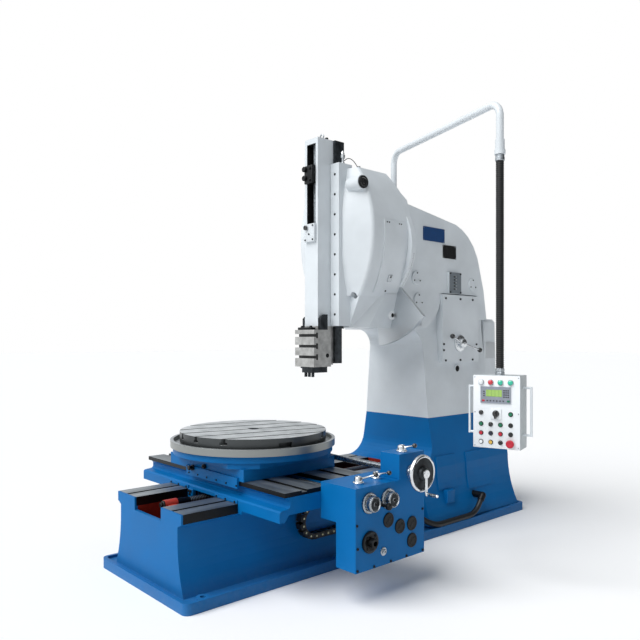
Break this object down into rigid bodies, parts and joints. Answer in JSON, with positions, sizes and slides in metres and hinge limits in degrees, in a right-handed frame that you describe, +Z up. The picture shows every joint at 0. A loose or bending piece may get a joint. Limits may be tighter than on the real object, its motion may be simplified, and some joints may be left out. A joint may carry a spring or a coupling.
{
  "type": "slotting machine",
  "caption": "Slotting machine with a vertical ram on a barrel head, slotted round table on saddle and cross slide, and hanging control box.",
  "frame": {"origin": "centre of the foot's underside on the floor", "axes": "+Z up, +X towards the feed box, +Y from the table end to the column"},
  "size_m": [2.5231, 3.64, 3.21],
  "materials": {
    "blue_enamel": "semi-gloss enamel on castings",
    "white_enamel": "semi-gloss off-white enamel",
    "way_steel": "ground and oiled ways",
    "machined_iron": "turned and planed iron, bright",
    "black_finish": "blackened steel",
    "red_paint": "red-brown paint inside the troughs",
    "chrome": "polished",
    "plated_steel": "plated fitting",
    "black_plastic": "moulded, matt",
    "black_rubber": "ribbed hose and conduit"
  },
  "bodies": {
    "frame": {"base": "blue_enamel", "bed_ways": "way_steel", "feed_screw": "black_finish", "screw_coupling": "red_paint", "column": "white_enamel", "rear_housing": "white_enamel", "side_covers": "white_enamel", "head": "white_enamel", "keepers": "white_enamel", "head_cover": "white_enamel", "oil_gauge": "black_finish", "pendant_boss": "white_enamel", "cable_chain": "black_plastic", "hose_gland": "plated_steel", "hose": "black_rubber"},
    "gear_lever": {"gear_lever": "chrome"},
    "ram": {"ram_slide": "way_steel", "ram_body": "white_enamel", "stroke_screw": "machined_iron", "stroke_clamp": "black_finish", "ram_plate": "white_enamel", "tool_head": "machined_iron", "tool_clamp": "black_finish"},
    "saddle": {"saddle": "blue_enamel", "cross_ways": "way_steel", "cross_screw": "red_paint", "feed_box": "blue_enamel", "box_fittings": "black_finish", "spline_shaft": "machined_iron"},
    "dial_front": {"dial_front": "machined_iron"},
    "dial_back": {"dial_back": "machined_iron"},
    "handwheel": {"handwheel": "machined_iron"},
    "lever_front": {"lever_front": "chrome"},
    "lever_middle": {"lever_middle": "chrome"},
    "lever_top": {"lever_top": "chrome"},
    "cross_slide": {"cross_slide": "blue_enamel", "slide_locks": "black_finish", "table_base": "blue_enamel", "gutter_ring": "machined_iron"},
    "table": {"table_plate": "machined_iron"},
    "pendant_arm": {"pendant_arm": "white_enamel"},
    "pendant": {"pendant_conduit": "black_rubber", "control_box": "white_enamel", "panel_handles": "white_enamel", "panel_controls": "black_plastic"}
  },
  "joints": [
    {"name": "saddle_slide", "type": "slide", "parent": "frame", "child": "saddle", "axis": [0, 1, 0], "range_m": [-0.27, 0.85]},
    {"name": "cross_slide_feed", "type": "slide", "parent": "saddle", "child": "cross_slide", "axis": [1, 0, 0], "range_m": [-0.4, 0.4]},
    {"name": "table_spin", "type": "hinge", "parent": "cross_slide", "child": "table", "pos_m": [0, -0.916, 0.95], "axis": [0, 0, 1], "continuous": true},
    {"name": "ram_stroke", "type": "slide", "parent": "frame", "child": "ram", "axis": [0, 0, 1], "range_m": [-0.34, 0.29]},
    {"name": "gear_lever_turn", "type": "hinge", "parent": "frame", "child": "gear_lever", "pos_m": [0.367, 1.085, 1.571], "axis": [1, 0, 0], "range_deg": [-45, 45]},
    {"name": "handwheel_spin", "type": "hinge", "parent": "saddle", "child": "handwheel", "pos_m": [1.168, -0.53, 0.76], "axis": [1, 0, 0], "continuous": true},
    {"name": "dial_front_spin", "type": "hinge", "parent": "saddle", "child": "dial_front", "pos_m": [1.168, -0.913, 0.62], "axis": [1, 0, 0], "continuous": true},
    {"name": "dial_back_spin", "type": "hinge", "parent": "saddle", "child": "dial_back", "pos_m": [1.168, -0.745, 0.62], "axis": [1, 0, 0], "continuous": true},
    {"name": "lever_front_turn", "type": "hinge", "parent": "saddle", "child": "lever_front", "pos_m": [1.07, -0.905, 0.718], "axis": [0, 0, 1], "range_deg": [-30, 30]},
    {"name": "lever_middle_turn", "type": "hinge", "parent": "saddle", "child": "lever_middle", "pos_m": [1.04, -0.711, 0.718], "axis": [0, 0, 1], "range_deg": [-30, 30]},
    {"name": "lever_top_turn", "type": "hinge", "parent": "saddle", "child": "lever_top", "pos_m": [1.11, -0.55, 0.878], "axis": [0, 0, 1], "range_deg": [-30, 30]},
    {"name": "pendant_swing", "type": "hinge", "parent": "frame", "child": "pendant_arm", "pos_m": [0.17, 0.43, 2.85], "axis": [0, 0, 1], "range_deg": [-10, 70]},
    {"name": "pendant_swivel", "type": "hinge", "parent": "pendant_arm", "child": "pendant", "pos_m": [1.4591, 0.0359, 2.83], "axis": [0, 0, 1], "range_deg": [-75, 75]}
  ]
}
